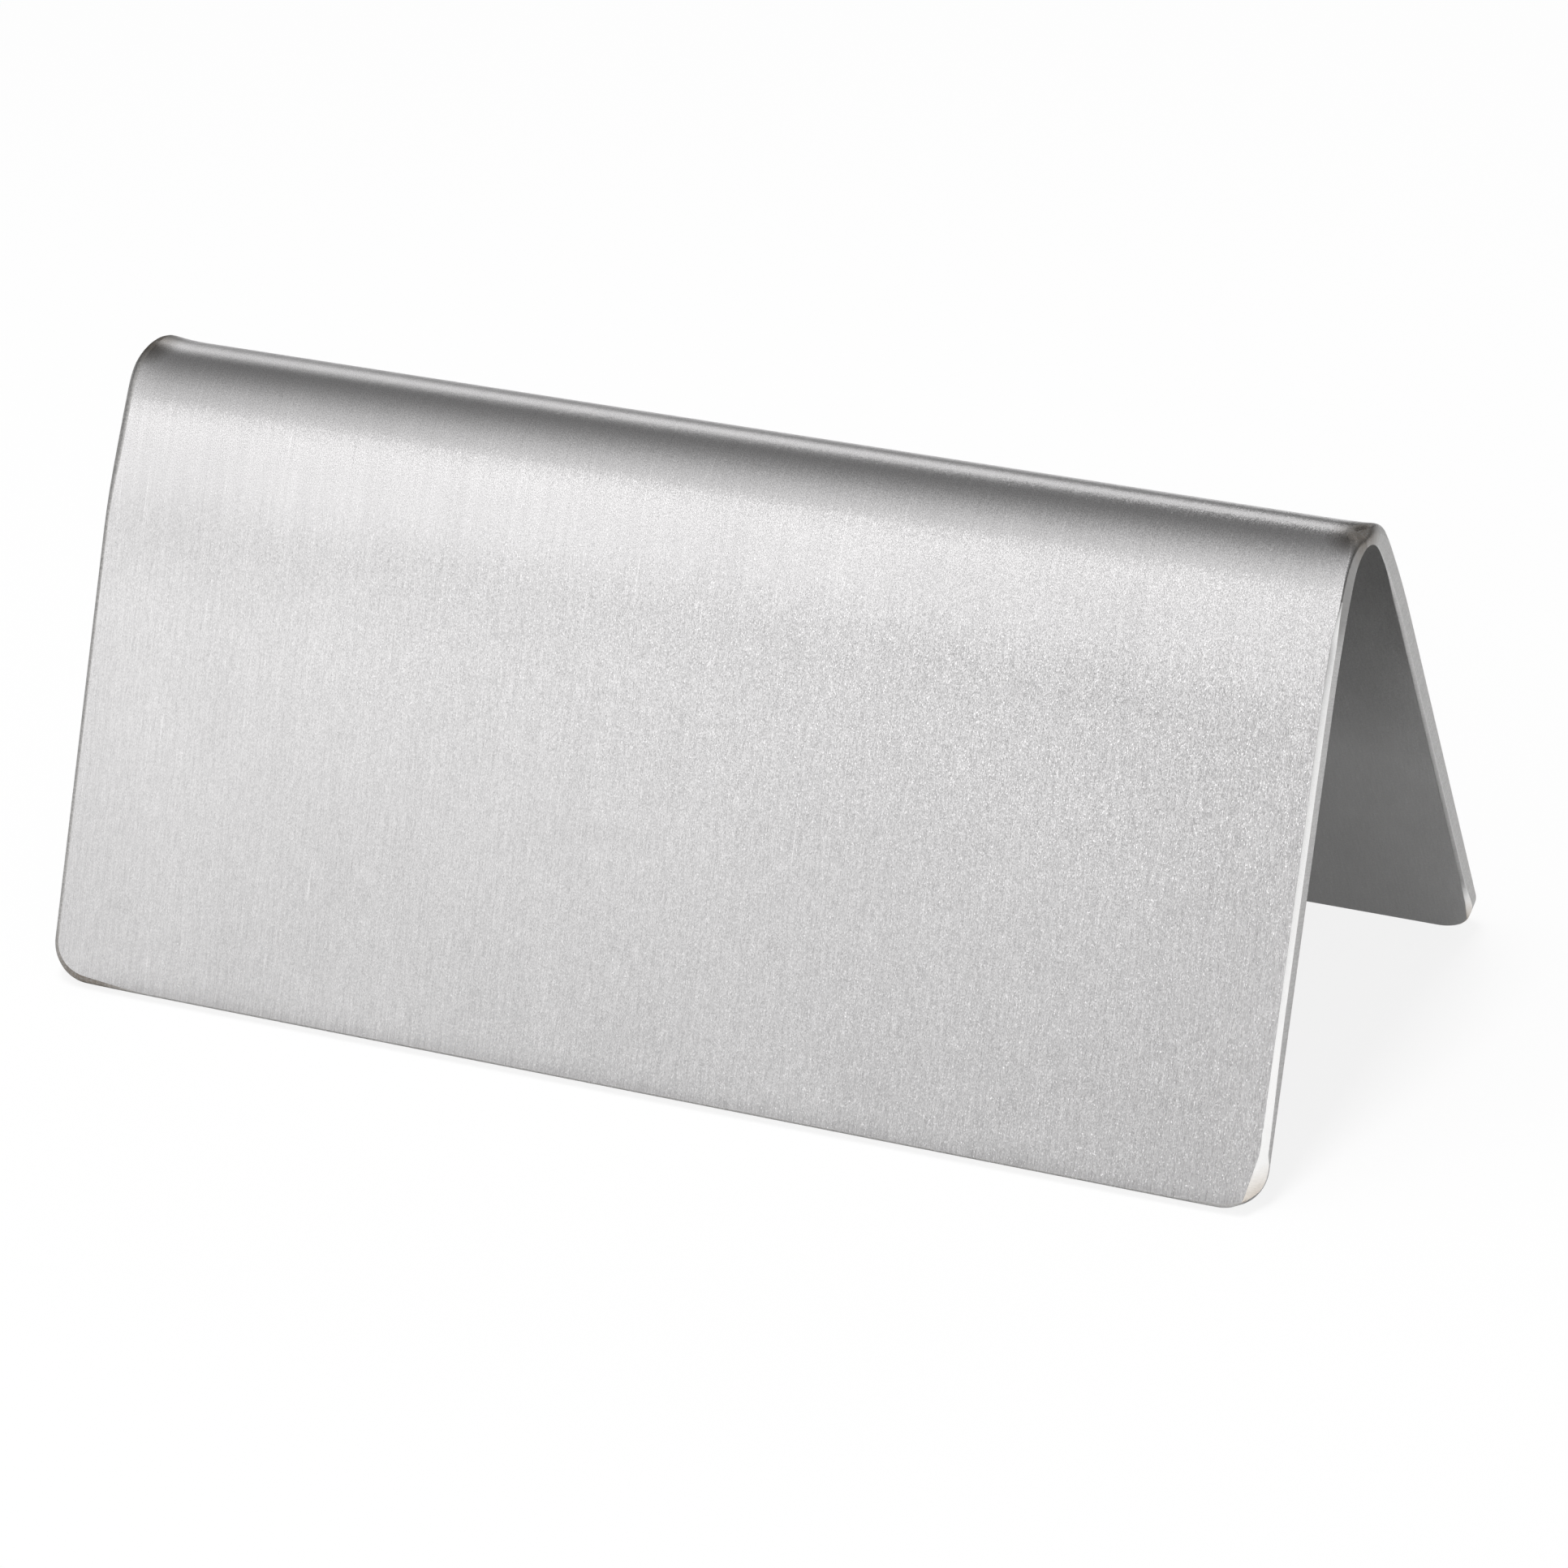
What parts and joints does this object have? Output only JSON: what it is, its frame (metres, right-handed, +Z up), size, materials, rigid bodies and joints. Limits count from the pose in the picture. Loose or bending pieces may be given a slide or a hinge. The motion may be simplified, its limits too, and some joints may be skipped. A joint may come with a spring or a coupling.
{
  "type": "table sign",
  "caption": "Blank tent-shaped table sign folded from brushed stainless steel sheet, with ground edges and rounded foot corners; stands free on a table.",
  "frame": {"origin": "on the table, at the centre of the footprint", "axes": "+X along the ridge to the right as seen from the front, +Y to the back, +Z up; the front face looks towards -Y"},
  "size_m": [0.08, 0.0376, 0.0354],
  "materials": {
    "brushed_steel": "satin, fine grain running from the ridge down to the feet; ground bevels brighter than the faces"
  },
  "bodies": {
    "root": {"folded_sheet": "brushed_steel"}
  },
  "joints": []
}
